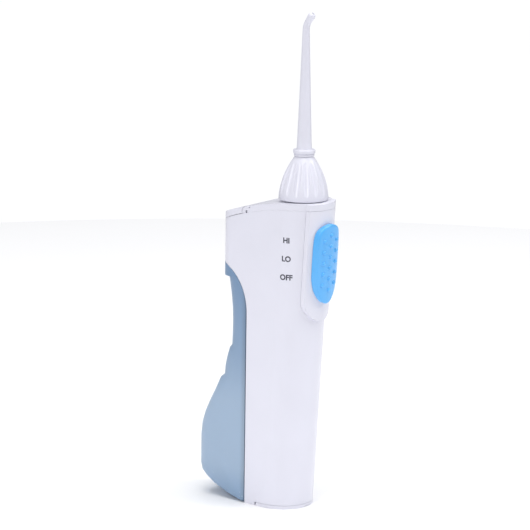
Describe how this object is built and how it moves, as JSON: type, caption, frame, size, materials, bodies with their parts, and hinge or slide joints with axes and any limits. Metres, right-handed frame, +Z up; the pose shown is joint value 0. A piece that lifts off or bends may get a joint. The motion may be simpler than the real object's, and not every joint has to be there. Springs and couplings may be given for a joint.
{
  "type": "water flosser",
  "caption": "Cordless oral irrigator: handheld battery pump with a drop-off water tank, filler flap, slide switch, turning knob and pull-out jet tip.",
  "frame": {"origin": "centre of the footprint on the floor, which is the bottom of the bounding box", "axes": "+Z up along the handle to the jet tip; -Y is the front, where the slide switch is; X across"},
  "size_m": [0.0356, 0.0846, 0.287],
  "materials": {
    "shell_white": "satin, very light lavender white",
    "switch_blue": "satin bright blue",
    "tank_blue": "frosted translucent blue-grey",
    "rubber_dark": "matte",
    "rubber_clear": "matte milky",
    "plastic_dark": "matte",
    "plastic_ivory": "matte",
    "plastic_natural": "satin",
    "steel": "fine brushed",
    "brass": "satin",
    "board_green": "solder mask",
    "cell_jacket": "gloss sleeve",
    "ceramic_tan": "glazed",
    "wire_red": "satin insulation",
    "wire_black": "satin insulation"
  },
  "bodies": {
    "housing": {"main_shell": "shell_white", "top_cover": "shell_white", "flap_pin": "steel", "switch_panel": "shell_white", "switch_board": "board_green", "contact_pads": "brass", "speed_resistor": "ceramic_tan", "dip_tube": "plastic_natural", "inlet_filter": "plastic_dark", "suction_hose": "rubber_clear", "door_pin": "steel", "battery_left": "cell_jacket", "battery_right": "cell_jacket", "battery_tray": "plastic_dark", "contact_springs": "steel", "chassis": "plastic_dark", "chassis_screws": "steel", "motor_can": "steel", "motor_endcap": "plastic_ivory", "pump_cylinder": "plastic_natural", "pump_head": "plastic_natural", "pump_screws": "steel", "valve_spring": "steel", "delivery_hose": "rubber_clear", "nozzle_socket": "plastic_natural", "socket_screws": "steel", "lead_positive": "wire_red", "lead_negative": "wire_black", "lead_motor": "wire_red"},
    "water_tank_body": {"water_tank": "tank_blue", "tank_grommet": "rubber_dark"},
    "flap": {"filler_flap": "shell_white", "flap_gasket": "rubber_clear"},
    "slider": {"slide_button": "switch_blue", "slide_carrier": "plastic_dark", "contact_wiper": "brass"},
    "knob": {"rotation_knob": "shell_white", "tip_clip": "steel", "swivel_seal": "rubber_dark"},
    "tip": {"jet_tip": "shell_white", "tip_ring": "shell_white", "tip_seal": "rubber_dark"},
    "door": {"battery_door": "shell_white", "door_gasket": "rubber_dark", "bridge_contact": "steel"},
    "rotor": {"motor_rotor": "steel", "pinion": "brass"},
    "crank": {"crank_gear": "plastic_ivory", "crank_shaft": "steel"},
    "rod": {"con_rod": "plastic_ivory"},
    "plunger_body": {"plunger": "plastic_ivory", "plunger_seal": "rubber_dark"},
    "inlet_valve": {"inlet_ball": "steel"},
    "outlet_valve": {"outlet_ball": "steel"}
  },
  "joints": [
    {"name": "tank_slide", "type": "slide", "parent": "housing", "child": "water_tank_body", "axis": [0, 0, -1], "range_m": [0, 0.17]},
    {"name": "flap_hinge", "type": "hinge", "parent": "housing", "child": "flap", "pos_m": [0, 0.0053, 0.17233], "axis": [1, 0, 0], "range_deg": [0, 60]},
    {"name": "switch_slide", "type": "slide", "parent": "housing", "child": "slider", "axis": [0, -0.0554, 0.9985], "range_m": [-0.0105, 0.0105]},
    {"name": "knob_turn", "type": "hinge", "parent": "housing", "child": "knob", "pos_m": [0, -0.0217, 0.19], "axis": [0, 0, 1], "continuous": true},
    {"name": "tip_pull", "type": "slide", "parent": "knob", "child": "tip", "axis": [0, 0, 1], "range_m": [0, 0.025]},
    {"name": "door_hinge", "type": "hinge", "parent": "housing", "child": "door", "pos_m": [0, -0.0018, 0.0017], "axis": [1, 0, 0], "range_deg": [0, 75]},
    {"name": "crank_turn", "type": "hinge", "parent": "housing", "child": "crank", "pos_m": [0, -0.0107, 0.0915], "axis": [1, 0, 0], "continuous": true},
    {"name": "motor_turn", "type": "hinge", "parent": "housing", "child": "rotor", "pos_m": [0, -0.0107, 0.078], "axis": [1, 0, 0], "continuous": true},
    {"name": "rod_turn", "type": "hinge", "parent": "crank", "child": "rod", "pos_m": [0, -0.0092, 0.0915], "axis": [1, 0, 0], "continuous": true},
    {"name": "plunger_slide", "type": "slide", "parent": "housing", "child": "plunger_body", "axis": [0, 0, 1], "range_m": [-0.0015, 0.0015]},
    {"name": "inlet_valve_slide", "type": "slide", "parent": "housing", "child": "inlet_valve", "axis": [0, 0, -1], "range_m": [0, 0.0011]},
    {"name": "outlet_valve_slide", "type": "slide", "parent": "housing", "child": "outlet_valve", "axis": [0, 0, 1], "range_m": [0, 0.0008], "deforming": ["valve_spring"]}
  ],
  "couplings": [
    {"joint": "crank_turn", "follows": "motor_turn", "ratio": -0.2},
    {"joint": "rod_turn", "follows": "motor_turn", "ratio": 0.2}
  ]
}
